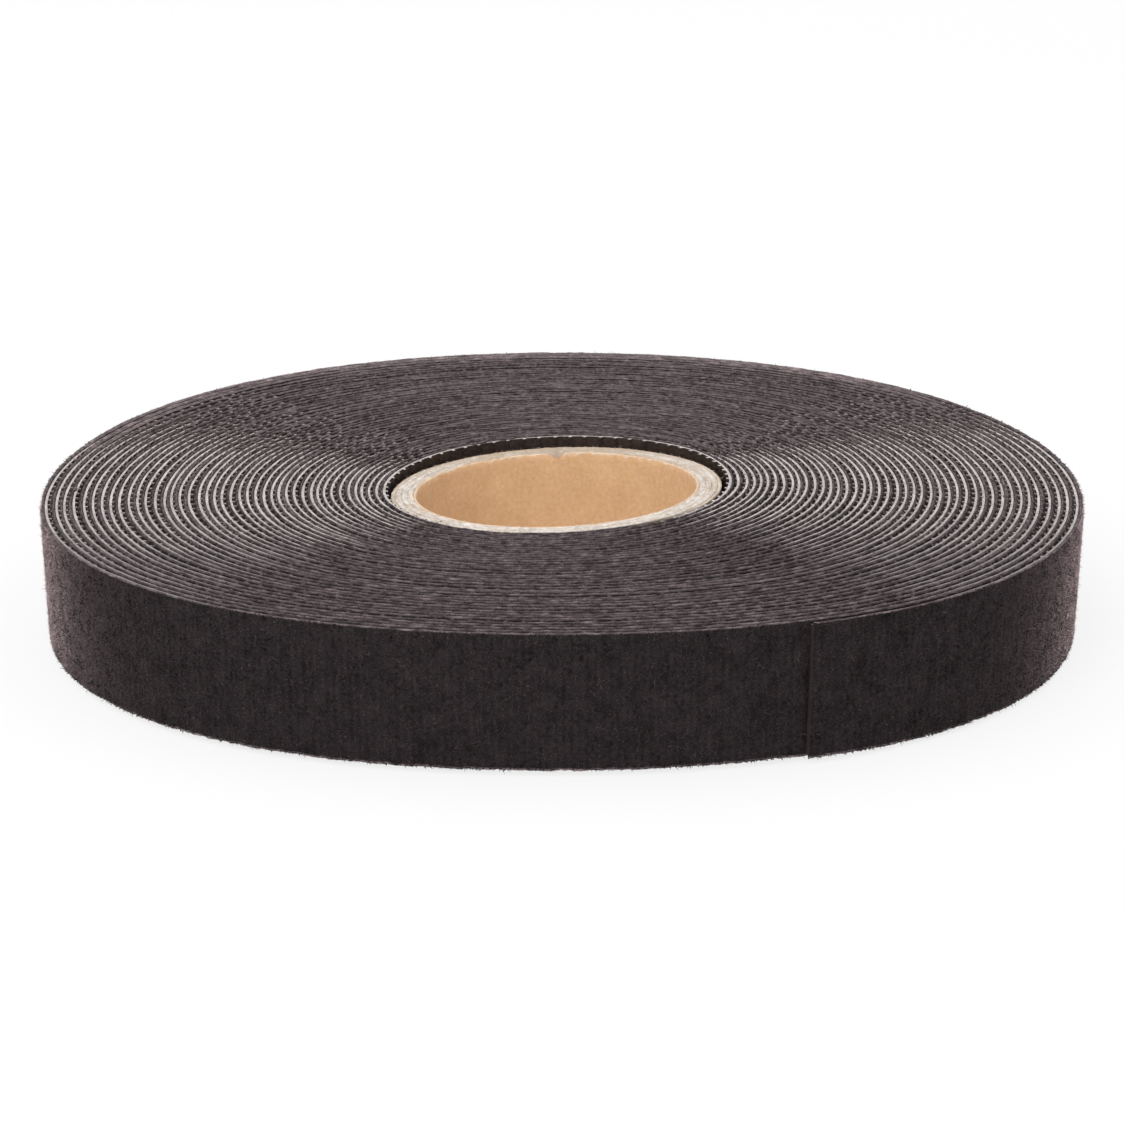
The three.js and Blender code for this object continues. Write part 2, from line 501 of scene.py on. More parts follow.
def hair_skins(roots, place, directions, lengths, width, curl, slot):
    """Bent tapering hairs: three sides from a ring at the root to a ring half way, and on to one point."""
    tips_way = unit(directions + curl * chance.normal(size=directions.shape))
    middles = roots + 0.5 * lengths[:, None] * directions
    tips = middles + 0.5 * lengths[:, None] * tips_way
    ring = root_rings(directions, width)
    points = np.concatenate([roots[:, None] + ring, middles[:, None] + 0.8 * ring, tips[:, None]], axis=1)
    quads = np.array([[0, 1, 4, 3], [1, 2, 5, 4], [2, 0, 3, 5]])
    triangles = np.array([[3, 4, 6], [4, 5, 6], [5, 3, 6], [2, 1, 0]])
    places = rooted_place(place, lengths, np.array([0, 0, 0, 0.5, 0.5, 0.5, 1]))
    return repeated_skins(points, quads, triangles, places, slot, slot)


def tuft_skins(roots, place, directions, lengths, width, slot):
    """Tufts of pile: three-sided pyramids, each with its base on the web and its tip leaning to one side."""
    tips = roots + lengths[:, None] * directions
    points = np.concatenate([roots[:, None] + root_rings(directions, width), tips[:, None]], axis=1)
    triangles = np.array([[0, 1, 3], [1, 2, 3], [2, 0, 3], [2, 1, 0]])
    places = rooted_place(place, lengths, np.array([0, 0, 0, 1]))
    return repeated_skins(points, np.zeros((0, 4), int), triangles, places, slot, slot)


def random_angles(first, last, density):
    """Angles at random lengths between two others, by a number to the millimetre of tape."""
    start, end = length_at(first), length_at(last)
    return angle_at(chance.uniform(start, end, int((end - start) / MM * density)))


def face_places(first, last, density):
    """Random places on the outer face between two angles: angle, depth, height, and the way straight out."""
    angle = random_angles(first, last, density * TAPE_WIDTH / MM)
    height = chance.uniform(0.1 * MM - HEM_DROP, TAPE_WIDTH - 0.06 * MM, len(angle))
    return angle, np.full(len(angle), FACE_ROOT_DEPTH), height, straight_out(angle)


def face_tufts(first, last):
    """The crushed pile on the outer face: tufts that lie over every way."""
    angle, depth, height, out = face_places(first, last, FACE_TUFTS)
    way = unit(out + 0.8 * unit(chance.normal(size=out.shape)))
    lengths = MM * chance.uniform(0.22, 0.5, len(angle))
    return tuft_skins(*on_tape(angle, depth, height), way, lengths, FACE_TUFT_WIDTH, NAP)


def face_hairs(first, last):
    """Loose hairs that stand out of the pile on the outer face."""
    angle, depth, height, out = face_places(first, last, FACE_HAIRS)
    way = unit(out + 0.75 * chance.normal(size=out.shape))
    way = np.where(np.einsum("ij,ij->i", way, out)[:, None] < 0.15, unit(way + 0.9 * out), way)
    lengths = MM * (0.36 + 0.17 * chance.gamma(1.6, 1.0, len(angle)))
    return hair_skins(*on_tape(angle, depth, height), way, lengths, FACE_HAIR_WIDTH, NAP_CURL, NAP)


def edge_hairs(first, last):
    """Cut pile ends that stand up from the tape's upper edge, out to where the pile flares."""
    angle = random_angles(first, last, EDGE_HAIRS)
    count = len(angle)
    across = chance.uniform(0, 1, count)
    depth = across * 0.85 * pile_depth(angle) - (1 - across) * 0.7 * nap_flare(angle)
    height = TAPE_WIDTH - 0.1 * MM + FLUFF_HEIGHT * rim_fluff(angle)
    up = np.array([0, 0, 1.0]) + 0.6 * chance.normal(size=(count, 3))
    up[:, 2] = np.abs(up[:, 2]) + 0.2
    lengths = MM * (0.2 + 0.07 * chance.gamma(1.5, 1.0, count))
    return tuft_skins(*on_tape(angle, depth, height), unit(up), lengths, EDGE_HAIR_WIDTH, CUT_PILE)


def lower_hairs(first, last):
    """Loose pile that hangs out from the outermost turn's lower edge."""
    angle = random_angles(first, last, LOWER_HAIRS)
    count = len(angle)
    depth = np.full(count, LOWER_ROOT_DEPTH)
    height = chance.uniform(0.08 * MM, 0.5 * MM, count) - HEM_DROP
    way = 0.5 * straight_out(angle) + np.array([0, 0, -0.7]) + 0.55 * chance.normal(size=(count, 3))
    lengths = MM * (0.16 + 0.09 * chance.gamma(1.5, 1.0, count))
    return hair_skins(*on_tape(angle, depth, height), unit(way), lengths, LOWER_HAIR_WIDTH, NAP_CURL, NAP)


# Paper core

# One strip of the core: the node it stands for, its radii, and how far its cut end stands back.
Ply = namedtuple("Ply", "node inner outer drop")
CORE_PLIES = [
    Ply("core_liner", 21.5 * MM, 21.93 * MM, 0.10 * MM),
    Ply("core_board_inner", 21.96 * MM, 22.86 * MM, 0.02 * MM),
    Ply("core_board_middle", 22.89 * MM, 23.79 * MM, 0.0),
    Ply("core_board_outer", 23.82 * MM, 24.72 * MM, 0.04 * MM),
    Ply("core_wrap", 24.75 * MM, 25.35 * MM, 0.12 * MM),
]


def core_points(radius, direction, height):
    """Points of the core, which stands on its own slope and a little to the left of the axis."""
    across = radius * np.cos(direction) - CORE_OFF_CENTRE
    lifted = height + on_slope(CORE_SLOPE, radius, direction)
    return np.stack([across, radius * np.sin(direction), lifted], axis=-1)


def core_skin(ply, seam_direction, lane, slot, nicked):
    """A ply of the core: a section carried round from one edge of its slanting seam to the other.

    The seam turns about the axis as it rises. The cut ends are ragged, and a torn notch may dip into the
    upper one.
    """
    wall = np.linspace(0, 1, CORE_LEVELS)[1:-1]
    ends = np.array([1, 0.85, 0.5, 0.15, 0])
    across = np.concatenate([[0, 0.5, 1], np.ones(len(wall)), ends, np.zeros(len(wall))])
    up = np.concatenate([[0, 0, 0], wall, np.ones(len(ends)), wall[::-1]])
    edge = np.where((up == 0) | (up == 1), 0.5 * MM * (across - 0.5) ** 2, 0)
    around = np.linspace(0, 1, CORE_SAMPLES)[:, None]
    radius = ply.inner + (ply.outer - ply.inner) * across
    height = up * CORE_LENGTH
    slit = SEAM_GAP / radius
    seam = seam_direction + FULL_TURN * height / SEAM_LEAD
    direction = seam + slit / 2 + around * (FULL_TURN - slit)
    arc = direction * radius
    fine_tear = steady_noise(arc / (0.5 * MM) + 31 * across, lane)
    tear = fine_tear + 0.8 * steady_noise(arc / (2.3 * MM), lane + 1)
    cut = np.where(up == 1, -1.0, np.where(up == 0, 1.0, 0.0))
    height = height + cut * (edge + TEAR_DEPTH * (1.6 + tear)) - np.where(up == 1, ply.drop, 0)
    if nicked:
        off = np.abs((direction - NICK_DIRECTION + math.pi) % FULL_TURN - math.pi) * radius
        notch = NICK_DEPTH * np.clip(1.25 - off / NICK_HALF_WIDTH + 0.15 * tear, 0, 1)
        height = height - notch * np.where(up == 1, 1, np.where(up == wall[-1], 0.3, 0))
    place = np.stack(np.broadcast_arrays(arc, height, radius - ply.inner), axis=-1)
    return swept_skin(core_points(radius, direction, height), place, slot, slot)


def core_fibres(count, slot):
    """Torn paper fibres that lie about the core's upper cut end."""
    direction = chance.uniform(0, FULL_TURN, count)
    radius = chance.uniform(CORE_PLIES[0].inner, CORE_PLIES[-1].outer, count)
    roots = core_points(radius, direction, CORE_LENGTH - 0.12 * MM)
    way = chance.normal(size=(count, 3))
    way[:, 2] = 0.35 * np.abs(way[:, 2]) + 0.1
    lengths = MM * (0.15 + 0.14 * chance.gamma(1.5, 1.0, count))
    place = np.stack([direction * radius, roots[:, 2], radius], axis=1)
    return hair_skins(roots, place, unit(way), lengths, FIBRE_WIDTH, FIBRE_CURL, slot)


# Materials

# Colour that the pile's base colour is mixed towards as its face turns away from the eye: a painted sheen.
PAINTED_SHEEN_COLOUR = (0.95, 0.722, 0.737)
SHEEN_POWER = 6.9
NOISE_SPREAD = (0.36, 0.64)
BUMP_OF_PILE = 0.10 * MM
CORE_TOP = CORE_LENGTH / MM
PILE_FINISH = {"Roughness": 0.95, "Specular_IOR_Level": 0.12}
HOOK_FINISH = {"Roughness": 0.85, "Specular_IOR_Level": 0.15}


def put(tree, socket, value):
    """Links a socket to another, or sets it to a value."""
    if isinstance(value, bpy.types.NodeSocket):
        tree.links.new(value, socket)
    elif isinstance(value, tuple) and socket.type == "RGBA":
        socket.default_value = (*value, 1)
    else:
        socket.default_value = value


def add_node(tree, kind, **values):
    """A shader node with its sockets linked or set by name, and its own settings where no socket has it."""
    made = tree.nodes.new(kind)
    for name, value in values.items():
        socket = name.replace("_", " ")
        if socket in made.inputs:
            put(tree, made.inputs[socket], value)
        else:
            setattr(made, name, value)
    return made


def add_math(tree, operation, first, second, third=None):
    """A Math node on two or three terms, each a socket or a number."""
    made = add_node(tree, "ShaderNodeMath", operation=operation)
    for socket, term in zip(made.inputs, (first, second, third)):
        if term is not None:
            put(tree, socket, term)
    return made.outputs[0]


def between(tree, part, first, second):
    """A number that lies part of the way from one to another."""
    return add_math(tree, "MULTIPLY_ADD", part, add_math(tree, "SUBTRACT", second, first), first)


def add_range(tree, value, low, high, to_low=0.0, to_high=1.0):
    """A value spread from one range to another, and held at its ends."""
    ends = {"From_Min": low, "From_Max": high, "To_Min": to_low, "To_Max": to_high}
    return add_node(tree, "ShaderNodeMapRange", Value=value, **ends).outputs["Result"]


def add_mix(tree, factor, first, second):
    """A colour between two others, each a socket or plain red, green and blue."""
    made = add_node(tree, "ShaderNodeMix", data_type="RGBA", Factor=factor)
    put(tree, made.inputs[6], first)
    put(tree, made.inputs[7], second)
    return made.outputs[2]


def add_noise(tree, place, **values):
    """Noise from 0 to 1 at a place."""
    return add_node(tree, "ShaderNodeTexNoise", Vector=place, **values).outputs["Fac"]


def split(tree, vector):
    """The X, Y and Z of a vector."""
    return add_node(tree, "ShaderNodeSeparateXYZ", Vector=vector).outputs


def stretched_noise(tree, strip, steps, detail):
    """Noise on the strip, drawn out by steps to the millimetre along, up and inwards."""
    stretch = add_node(tree, "ShaderNodeVectorMath", operation="MULTIPLY", Vector=strip)
    stretch.inputs[1].default_value = steps
    return add_noise(tree, stretch.outputs[0], Scale=1.0, Detail=detail)


def new_group(name, inputs, outputs):
    """An empty node group with named sockets, its inner input and output nodes beside it."""
    group = bpy.data.node_groups.new(name, "ShaderNodeTree")
    for names, way in ((inputs, "INPUT"), (outputs, "OUTPUT")):
        for socket, kind in names.items():
            group.interface.new_socket(socket, in_out=way, socket_type=f"NodeSocket{kind}")
    return group, group.nodes.new("NodeGroupInput").outputs, group.nodes.new("NodeGroupOutput").inputs


def uneven_dye_group():
    """Colour that wanders between a dark and a light shade in two sizes of cloud, and their height."""
    group, given, result = new_group(
        "uneven_dye", {"Place": "Vector", "Dark": "Color", "Light": "Color", "Scale": "Float"},
        {"Color": "Color", "Height": "Float"})
    larger = add_math(group, "MULTIPLY", given["Scale"], 0.18)
    fine = add_noise(group, given["Place"], Scale=given["Scale"], Detail=3.0, Roughness=0.65)
    coarse = add_noise(group, given["Place"], Scale=larger, Detail=1.0)
    cloud = add_math(group, "MULTIPLY_ADD", fine, 0.65, add_math(group, "MULTIPLY", coarse, 0.35))
    spread = add_range(group, cloud, *NOISE_SPREAD)
    group.links.new(add_mix(group, spread, given["Dark"], given["Light"]), result["Color"])
    group.links.new(spread, result["Height"])
    return group


def warp_ribs_group():
    """The fine ribs across the pile: a wave along the tape that wavers with height, from 0 to 1."""
    group, given, result = new_group("warp_ribs", {"Strip": "Vector"}, {"Rib": "Float"})
    along = split(group, given["Strip"])["X"]
    waver = stretched_noise(group, given["Strip"], (1.1, 0.32, 0.0), 2.0)
    phase = add_math(group, "MULTIPLY_ADD", waver, 7.0, add_math(group, "MULTIPLY", along, 5.5))
    wave = add_math(group, "SINE", phase, 0.0)
    group.links.new(add_range(group, wave, -1, 1), result["Rib"])
    return group


UNEVEN_DYE = uneven_dye_group()
WARP_RIBS = warp_ribs_group()


def new_material(name, **principled):
    """A material of one Principled shader with constants on its own sockets."""
    material = bpy.data.materials.new(name)
    material.use_nodes = True
    tree = material.node_tree
    tree.nodes.clear()
    shader = add_node(tree, "ShaderNodeBsdfPrincipled", **principled)
    output = tree.nodes.new("ShaderNodeOutputMaterial")
    tree.links.new(shader.outputs["BSDF"], output.inputs["Surface"])
    return material, tree, shader


def object_place(tree):
    """Object coordinates, in metres."""
    return tree.nodes.new("ShaderNodeTexCoord").outputs["Object"]


def on_strip(tree):
    """Length, height and depth on the strip, in millimetres."""
    return add_node(tree, "ShaderNodeAttribute", attribute_name="strip_place").outputs["Vector"]


def dyed(tree, dark, light, scale):
    """Mottled colour, and its height."""
    values = {"Place": object_place(tree), "Dark": dark, "Light": light, "Scale": scale}
    return add_node(tree, "ShaderNodeGroup", node_tree=UNEVEN_DYE, **values).outputs


def ribs(tree):
    """The fine ribs across the pile, from 0 to 1."""
    return add_node(tree, "ShaderNodeGroup", node_tree=WARP_RIBS, Strip=on_strip(tree)).outputs["Rib"]


def finished(tree, shader, colour, height, distance):
    """Gives the shader a colour, and a height that tilts its normal."""
    bump = add_node(tree, "ShaderNodeBump", Distance=distance, Height=height)
    tree.links.new(colour, shader.inputs["Base Color"])
    tree.links.new(bump.outputs["Normal"], shader.inputs["Normal"])


def velvet(tree, colour):
    """A colour with the sheen of pile: it pales by a power of how far the face turns away from the eye."""
    # Painted sheen: how far the face turns from the eye mixes the base colour towards a pale colour.
    turned = add_node(tree, "ShaderNodeLayerWeight", Blend=0.5).outputs["Facing"]
    return add_mix(tree, add_math(tree, "POWER", turned, SHEEN_POWER), colour, PAINTED_SHEEN_COLOUR)


def scaled(tree, colour, factor):
    """A colour made lighter or darker by a factor."""
    return add_node(tree, "ShaderNodeVectorMath", operation="SCALE", Vector=colour, Scale=factor).outputs[0]


def web_material(name, dark, light):
    """The pile's web: mottled, faintly ribbed and matt, with a velvet sheen."""
    material, tree, shader = new_material(name, **PILE_FINISH)
    dye = dyed(tree, dark, light, 1900.0)
    rib = ribs(tree)
    ribbed = scaled(tree, dye["Color"], add_range(tree, rib, 0, 1, 0.93, 1.07))
    height = add_math(tree, "MULTIPLY_ADD", rib, 0.25, dye["Height"])
    finished(tree, shader, velvet(tree, ribbed), height, BUMP_OF_PILE)
    return material


def cut_edge_material(name, dark, light):
    """The pile's cut edge: mottled, broken into dashes along the tape, and pale on its crown.

    Its crown is paler, partly by a painted sheen, and its hollows are darker by a painted shade, deepest at
    the front of the roll, but for a link of pile at each hook. It is combed into streaks at the front of the
    roll and brushed into fuzz at the back.
    """
    material, tree, shader = new_material(name, **PILE_FINISH)
    strip = on_strip(tree)
    dye = dyed(tree, dark, light, 4600.0)
    to_back = split(tree, object_place(tree))["Y"]
    apart = split(tree, strip)

    def shades(steps, detail, low, high):
        """Noise on the strip as a factor from low to high."""
        return add_range(tree, stretched_noise(tree, strip, steps, detail), *NOISE_SPREAD, low, high)

    dash = add_range(tree, stretched_noise(tree, strip, (0.4, 0.3, 2.0), 2.0), 0.36, 0.62, 0.8, 1.2)
    speck = shades((1.1, 0.7, 3.6), 1.0, 0.4, 1.5)
    streak = shades((0.55, 0.5, 3.6), 1.0, 0.65, 1.4)
    fuzz = shades((1.5, 0.8, 2.6), 2.0, 0.68, 1.3)
    combed = between(tree, add_range(tree, to_back, -15 * MM, -45 * MM), speck, streak)
    brushed = between(tree, add_range(tree, to_back, 15 * MM, 45 * MM), combed, fuzz)
    broken = add_math(tree, "MULTIPLY", dash, brushed)

    # Painted shade in the hollows below the crown, darkest at the front of the roll, where the crown is also
    # a little paler.
    half = TAPE_WIDTH / MM / 2
    out = add_math(tree, "ABSOLUTE", add_math(tree, "SUBTRACT", apart["Y"], half), 0.0)
    rise = add_range(tree, out, half - 0.32, half + 0.06)
    floor = add_range(tree, to_back, -40 * MM, 40 * MM, 0.07, 0.22)
    crest = add_range(tree, to_back, -40 * MM, 0.0, 1.1, 1.02)
    shaded_hollow = between(tree, rise, floor, crest)
    from_hook = add_math(tree, "PINGPONG", apart["X"], HOOK_PITCH / MM / 2)
    drawn_up = add_range(tree, to_back, -45 * MM, -10 * MM, 0.6, 1.0)
    link = add_math(tree, "MULTIPLY", add_range(tree, from_hook, 0.2, 0.44, 0.75, 0.0), drawn_up)
    # Painted sheen in part: the crown's tips and the brushed-up fluff are up to about twice as pale.
    fluff = add_range(tree, out, half + 0.05, half + 0.16, 1.0, 1.95)
    crown = add_math(tree, "MULTIPLY", add_math(tree, "MAXIMUM", shaded_hollow, link), fluff)

    colour = scaled(tree, dye["Color"], add_math(tree, "MULTIPLY", broken, crown))
    finished(tree, shader, colour, dye["Height"], BUMP_OF_PILE)
    return material


def nap_material(name, root, tip):
    """Loose pile in clouds of shade, darker at its roots, with a velvet sheen."""
    material, tree, shader = new_material(name, Roughness=0.95, Specular_IOR_Level=0.1)
    outer = add_range(tree, split(tree, on_strip(tree))["Z"], 0.02, -0.42)
    cloud = dyed(tree, (0.05, 0.049, 0.049), (1.96, 1.94, 1.94), 2800.0)
    pile = velvet(tree, add_mix(tree, outer, root, tip))
    shade = add_node(tree, "ShaderNodeVectorMath", operation="MULTIPLY", Vector=pile)
    tree.links.new(cloud["Color"], shade.inputs[1])
    ribbed = scaled(tree, shade.outputs[0], add_range(tree, ribs(tree), 0, 1, 0.78, 1.22))
    tree.links.new(ribbed, shader.inputs["Base Color"])
    return material


def mottled_material(name, dark, light, scale, distance, front=None, **principled):
    """A mottled material with a little bump, which may be darker towards the front of the roll by a painted
    shade.
    """
    material, tree, shader = new_material(name, **principled)
    dye = dyed(tree, dark, light, scale)
    colour = dye["Color"]
    if front:
        to_back = split(tree, object_place(tree))["Y"]
        # Painted shade: darker towards the front of the roll, down to the given share of the colour.
        colour = scaled(tree, colour, add_range(tree, to_back, -42 * MM, -10 * MM, front, 1.0))
    finished(tree, shader, colour, dye["Height"], distance)
    return material


def liner_material():
    """Brown kraft liner: fibrous, flecked, uneven in tone, and worn to pale board along its upper edge."""
    material, tree, shader = new_material("kraft_liner", Roughness=0.85, Specular_IOR_Level=0.3)
    strip = on_strip(tree)
    dye = dyed(tree, (0.585, 0.36, 0.20), (0.72, 0.475, 0.28), 1500.0)
    flecks = add_range(tree, add_noise(tree, strip, Scale=2.2, Detail=2.0), 0.69, 0.76)
    flecked = add_mix(tree, flecks, dye["Color"], (0.40, 0.215, 0.10))
    tone = add_range(tree, stretched_noise(tree, strip, (0.9, 1.6, 0.0), 3.0), 0.42, 0.66, 0.0, 0.6)
    toned = add_mix(tree, tone, flecked, (0.66, 0.415, 0.205))
    frayed = add_noise(tree, strip, Scale=0.6, Detail=5.0, Roughness=0.75)
    rise = add_math(tree, "MULTIPLY_ADD", frayed, 3.4, split(tree, strip)["Y"])
    worn = add_range(tree, rise, CORE_TOP + 1.25, CORE_TOP + 1.95)
    colour = add_mix(tree, worn, toned, (0.79, 0.70, 0.61))
    finished(tree, shader, colour, dye["Height"], 0.04 * MM)
    return material


def board_material(name, dark, light, streak, painted_shade):
    """Cut board: pale fibres laid round the core with streaks of brown between them, browner at the back.

    It is browner towards the back by a painted shade. A share of its colour is lost to painted shade at the
    front and below the cut end.
    """
    material, tree, shader = new_material(name, Roughness=0.9, Specular_IOR_Level=0.25)
    strip = on_strip(tree)
    place = object_place(tree)
    dye = dyed(tree, dark, light, 1250.0)
    layers = stretched_noise(tree, strip, (0.5, 0.8, 2.4), 4.0)
    shade = add_mix(tree, add_range(tree, layers, 0.49, 0.68, 0.0, 0.95), dye["Color"], streak)
    to_back = split(tree, place)["Y"]
    stains = add_noise(tree, place, Scale=230.0, Detail=4.0)
    # Painted shade: browner towards the back of the roll, added to the stains at random.
    back_shade = add_range(tree, to_back, 4 * MM, 24 * MM, 0.0, 0.3)
    brown = add_range(tree, add_math(tree, "ADD", stains, back_shade), 0.5, 0.78, 0.0, 0.8)
    stained_and_shaded = add_mix(tree, brown, shade, streak)
    # Painted shade: darker below the cut end and towards the front of the roll, by the given share.
    sunk = add_range(tree, split(tree, strip)["Y"], CORE_TOP - 0.7, CORE_TOP - 0.35, 1 - painted_shade, 1.0)
    front = add_range(tree, to_back, -23 * MM, -10 * MM, 1 - painted_shade, 1.0)
    colour = scaled(tree, stained_and_shaded, add_math(tree, "MULTIPLY", sunk, front))
    finished(tree, shader, colour, dye["Height"], 0.12 * MM)
    return material


PILE, CUT_PILE, NAP, FILM_EDGE, FILM_FACE, CUT_HOOK, HOOK_SIDE_PAINTED_LIGHT = range(7)
TAPE_MATERIALS = [
    web_material("charcoal_pile", (0.012, 0.0094, 0.0098), (0.032, 0.0252, 0.0262)),
    cut_edge_material("charcoal_cut_edge", (0.08, 0.061, 0.0635), (0.235, 0.187, 0.192)),
    nap_material("charcoal_nap", (0.0095, 0.0075, 0.0079), (0.074, 0.0579, 0.0608)),
    # The slit film's edge gets painted shade towards the front of the roll, down to 0.36 of its colour.
    mottled_material(
        "slit_film_edge", (0.31, 0.278, 0.269), (0.66, 0.60, 0.58), 1500.0, 0.02 * MM, 0.36, Roughness=0.5),
    mottled_material(
        "black_hook_film", (0.0185, 0.0118, 0.0094), (0.049, 0.0313, 0.0248), 1500.0, 0.03 * MM,
        Roughness=0.5, Specular_IOR_Level=0.25),
    mottled_material(
        "cut_hook_end", (0.15, 0.122, 0.119), (0.38, 0.316, 0.307), 1100.0, 0.02 * MM, **HOOK_FINISH),
    # The edge hooks' sides are made lighter than the black film they are moulded from: painted light in the
    # gaps between them.
    mottled_material(
        "hook_side_painted_light", (0.09, 0.073, 0.0715), (0.18, 0.149, 0.145), 1500.0, 0.02 * MM, **HOOK_FINISH),
]
LINER, BOARD, WRAP = range(3)
CORE_MATERIALS = [
    liner_material(),
    # The last number is the share of painted shade at the front of the roll and below the cut end.
    board_material("grey_board", (0.52, 0.455, 0.40), (0.90, 0.85, 0.80), (0.47, 0.365, 0.27), 0.0),
    board_material("kraft_wrap", (0.52, 0.43, 0.34), (0.84, 0.75, 0.65), (0.47, 0.34, 0.23), 0.85),
]
LINT_MATERIALS = [
    mottled_material("lint", (0.05, 0.047, 0.047), (0.11, 0.105, 0.105), 900.0, 0.01 * MM, Roughness=0.9),
]


# Wound tape

joints = {joint["name"]: joint for joint in frame["joints"]}


def hinge_angle(name):
    """Angle wound back from the free end to a hinge."""
    x, y = joints[name]["pos_m"][:2]
    return (math.atan2(y, x) - FREE_END_DIRECTION) % FULL_TURN


root_bend, middle_bend, tip_bend = (hinge_angle(name) for name in ("peel_root", "peel_middle", "peel_tip"))
link_angle = root_bend - middle_bend
tail_cuts = [root_bend + link_angle, root_bend - link_angle / 2, middle_bend - link_angle / 2, 0.0]


def samples(first, last, step):
    """Angles between two ends, at even steps of length along the tape."""
    ends = length_at(np.array([first, last]))
    return angle_at(np.linspace(*ends, max(3, int(abs(ends[1] - ends[0]) / step))))


def stretches(first, last, count):
    """Pairs of angles that share out the tape between two ends in equal lengths."""
    ends = angle_at(np.linspace(length_at(first), length_at(last), count + 1))
    return zip(ends[:-1], ends[1:])


def hook_places(first, last):
    """Angles of the hooks between two ends: at whole hook pitches along the tape, with a little scatter."""
    start = math.ceil(length_at(first) / HOOK_PITCH + HOOK_END_MARGIN)
    lengths = HOOK_PITCH * np.arange(start, length_at(last) / HOOK_PITCH - HOOK_END_MARGIN)
    return angle_at(lengths + chance.normal(size=len(lengths)) * HOOK_SCATTER)


def edge_hook_skins(first, last, upper):
    """The row of hooks at one edge: the slit leaves them flush with the film in places and sunk in others."""
    angle = hook_places(first, last)
    sunk = 0.25 * MM * np.clip(tape_noise(angle, 14 * MM, 22) - 0.2, 0, 1)
    sunk = HOOK_HALF_HEIGHT + sunk + 0.04 * MM * np.abs(chance.normal(size=len(angle)))
    height = TAPE_WIDTH - hook_recess(angle) - sunk if upper else FILM_LOWER_EDGE + sunk
    return hook_skins(angle, height, HOOK_SIDE_PAINTED_LIGHT, CUT_HOOK)


def bore_hook_skins():
    """The innermost turn's upper row, which no pile covers: flush with the film and as pale as its edge."""
    angle = hook_places(LAST_ANGLE - FULL_TURN, LAST_ANGLE)
    height = TAPE_WIDTH - film_recess(angle) - HOOK_HALF_HEIGHT
    return hook_skins(angle, height, FILM_FACE, FILM_EDGE, stretch=BORE_HOOK_STRETCH)


def hook_field(first, last):
    """Full rows of hooks over the film's face, every other row half a pitch on."""
    rows = np.arange(1.2 * MM, TAPE_WIDTH - 1.0 * MM, HOOK_ROW_PITCH)
    angle = hook_places(first, last)
    shift = HOOK_PITCH / 2 * (np.arange(len(rows)) % 2)
    grid = (angle[None] + shift[:, None] / face_radius(angle)).ravel()
    return hook_skins(grid, np.repeat(rows, len(angle)), FILM_FACE, FILM_FACE)


def on_roll(piece, slot, *nodes):
    """A piece that rides on the roll and may stand for nodes, which it hides; its slot is not used."""
    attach(piece, "roll")
    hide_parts(*nodes)


wound_from = tail_cuts[0]
quarters = ("outermost", "outer", "inner", "innermost")
for part, (first, last) in zip(quarters, stretches(wound_from, LAST_ANGLE, len(quarters))):
    web = add_piece(f"wound_pile_{part}_turns", pile_skin(samples(first, last, PILE_STEP)), TAPE_MATERIALS)
    on_roll(web, "loop_pile", "wound_pile")

wound_film = film_skin(samples(wound_from, LAST_ANGLE, FILM_STEP))
on_roll(add_piece("wound_hook_film", wound_film, TAPE_MATERIALS, smooth=False), "hook_film", "wound_hooks")

hook_rows = {
    "wound_upper_hooks": edge_hook_skins(wound_from, LAST_ANGLE - FULL_TURN, True),
    "wound_lower_hooks": edge_hook_skins(wound_from, LAST_ANGLE, False),
    "innermost_turn_hooks": joined([hook_field(LAST_ANGLE - FULL_TURN, LAST_ANGLE), bore_hook_skins()]),
}
for name, hooks in hook_rows.items():
    on_roll(add_piece(name, hooks, TAPE_MATERIALS, smooth=False), "hook_film")

for number, (first, last) in enumerate(stretches(wound_from, FULL_TURN, 3)):
    nap = joined([face_tufts(first, last), face_hairs(first, last), lower_hairs(first, last)])
    piece = add_piece(f"outer_nap_{number + 1}", nap, TAPE_MATERIALS)
    shade_as_face(piece, nap, NAP)
    on_roll(piece, "loop_pile")
for number, (first, last) in enumerate(stretches(wound_from, LAST_ANGLE, 3)):
    on_roll(add_piece(f"upper_edge_nap_{number + 1}", edge_hairs(first, last), TAPE_MATERIALS), "loop_pile")


def lint_speck():
    """A speck of lint caught on the pile beside the free end: a tangle of hairs from one place."""
    past_end = chance.normal(-LINT_DISTANCE, 0.25 * MM, LINT_HAIRS)
    angle = FULL_TURN + angle_at(past_end + 3 * MM) - angle_at(3 * MM)
    height = chance.normal(LINT_HEIGHT, 0.45 * MM, LINT_HAIRS)
    depth = np.zeros(LINT_HAIRS)
    way = unit(chance.normal(size=(LINT_HAIRS, 3)) + np.array([0, -0.6, 0]))
    lengths = MM * chance.uniform(0.25, 0.8, LINT_HAIRS)
    return hair_skins(*on_tape(angle, depth, height), way, lengths, LINT_HAIR_WIDTH, FIBRE_CURL, 0)


on_roll(add_piece("lint_speck", lint_speck(), LINT_MATERIALS), "loop_pile")

# Free end: three lengths that meet in the middle of the stiff links, each around one joint.

